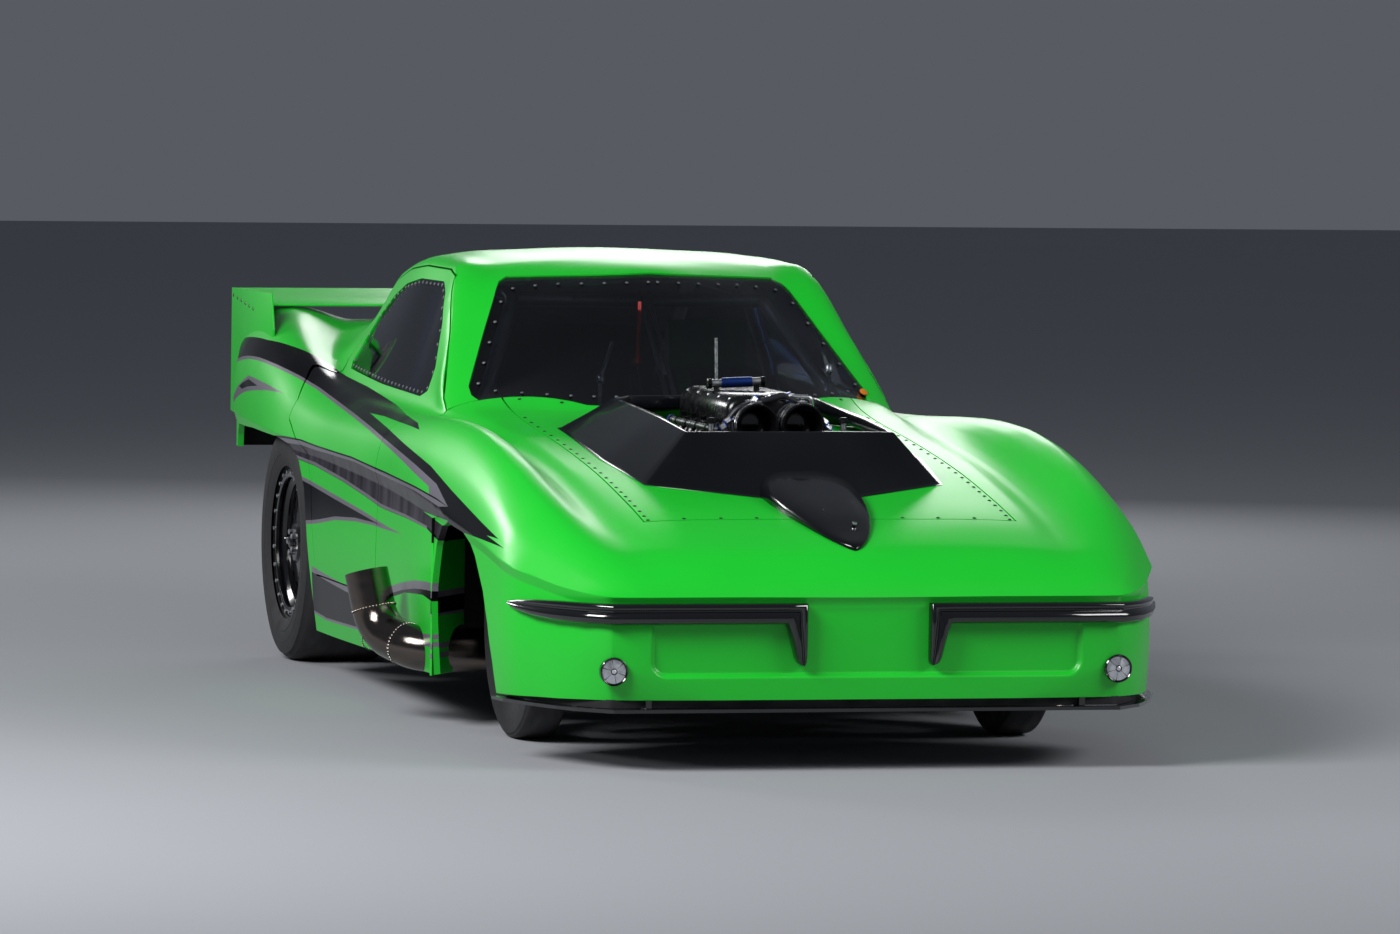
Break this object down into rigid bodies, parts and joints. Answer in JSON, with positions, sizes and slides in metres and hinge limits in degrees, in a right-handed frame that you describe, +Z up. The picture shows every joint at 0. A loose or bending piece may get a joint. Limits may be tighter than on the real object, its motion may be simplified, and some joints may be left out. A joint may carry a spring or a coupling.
{
  "type": "drag racing car",
  "caption": "Low green doorslammer drag racing car with a black hood cowl round an open engine, big rear slicks, side exhausts, rear spoiler, parachutes and a wheelie bar",
  "frame": {"origin": "on the ground under the middle of the whole car", "axes": "+Z up, the nose points to -Y, the car's left side is +X"},
  "size_m": [2.152, 5.073, 1.28],
  "materials": {
    "green_paint": "gloss",
    "smoked_window": "gloss",
    "black_gloss": "gloss",
    "tyre_rubber": "matte",
    "small_wheel_plastic": "matte",
    "black_wheel": "gloss",
    "lamp_lens": "gloss",
    "tail_lamp_red": "gloss",
    "black_fabric": "matte",
    "dark_steel": "satin",
    "exhaust_steel": "satin",
    "black_alloy": "satin",
    "black_panel": "matte"
  },
  "bodies": {
    "car": {"body_shell": "green_paint", "bumper_blades": "black_gloss", "cabin_floor": "black_panel", "cage_braces": "dark_steel", "cage_hoop": "dark_steel", "cage_side_bars": "dark_steel", "chassis_frame": "dark_steel", "cylinder_heads": "black_alloy", "dash_panel": "black_panel", "driveshaft": "dark_steel", "engine_block": "black_alloy", "exhausts": "exhaust_steel", "front_arms": "dark_steel", "front_clip": "green_paint", "front_lamps": "lamp_lens", "gearbox": "black_alloy", "hood_cowl": "black_gloss", "hood_panel": "green_paint", "intake_manifold": "black_alloy", "parachute_packs": "black_fabric", "rear_axle": "dark_steel", "rear_spoiler": "green_paint", "rear_suspension": "dark_steel", "rear_windows": "smoked_window", "seat": "black_fabric", "splitter": "black_gloss", "steering_rack": "dark_steel", "steering_wheel": "dark_steel", "tail_lamps": "tail_lamp_red", "throttle_bodies": "black_alloy", "wheelie_bar": "dark_steel", "windshield": "smoked_window"},
    "steer_left": {"upright_left": "dark_steel"},
    "steer_right": {"upright_right": "dark_steel"},
    "wheel_front_left": {"rim_front_left": "black_wheel", "tyre_front_left": "tyre_rubber"},
    "wheel_front_right": {"rim_front_right": "black_wheel", "tyre_front_right": "tyre_rubber"},
    "wheel_rear_left": {"rim_rear_left": "black_wheel", "tyre_rear_left": "tyre_rubber"},
    "wheel_rear_right": {"rim_rear_right": "black_wheel", "tyre_rear_right": "tyre_rubber"},
    "door_left": {"door_left": "green_paint", "door_window_left": "smoked_window"},
    "door_right": {"door_right": "green_paint", "door_window_right": "smoked_window"},
    "wheelie_wheels": {"wheelie_wheels": "small_wheel_plastic"}
  },
  "joints": [
    {"name": "steer_left_joint", "type": "hinge", "parent": "car", "child": "steer_left", "pos_m": [0.575, -1.5055, 0.312], "axis": [0, 0, 1], "range_deg": [-18, 18]},
    {"name": "steer_right_joint", "type": "hinge", "parent": "car", "child": "steer_right", "pos_m": [-0.575, -1.5055, 0.312], "axis": [0, 0, 1], "range_deg": [-18, 18]},
    {"name": "wheel_front_left_joint", "type": "hinge", "parent": "steer_left", "child": "wheel_front_left", "pos_m": [0.69, -1.5055, 0.312], "axis": [1, 0, 0], "continuous": true},
    {"name": "wheel_front_right_joint", "type": "hinge", "parent": "steer_right", "child": "wheel_front_right", "pos_m": [-0.69, -1.5055, 0.312], "axis": [1, 0, 0], "continuous": true},
    {"name": "wheel_rear_left_joint", "type": "hinge", "parent": "car", "child": "wheel_rear_left", "pos_m": [0.702, 1.0345, 0.358], "axis": [1, 0, 0], "continuous": true},
    {"name": "wheel_rear_right_joint", "type": "hinge", "parent": "car", "child": "wheel_rear_right", "pos_m": [-0.702, 1.0345, 0.358], "axis": [1, 0, 0], "continuous": true},
    {"name": "wheelie_wheels_joint", "type": "hinge", "parent": "car", "child": "wheelie_wheels", "pos_m": [0, 2.4745, 0.112], "axis": [1, 0, 0], "continuous": true},
    {"name": "door_left_joint", "type": "hinge", "parent": "car", "child": "door_left", "pos_m": [0.862, -0.3315, 0.516], "axis": [0, 0, -1], "range_deg": [0, 65]},
    {"name": "door_right_joint", "type": "hinge", "parent": "car", "child": "door_right", "pos_m": [-0.862, -0.3315, 0.516], "axis": [0, 0, 1], "range_deg": [0, 65]}
  ]
}
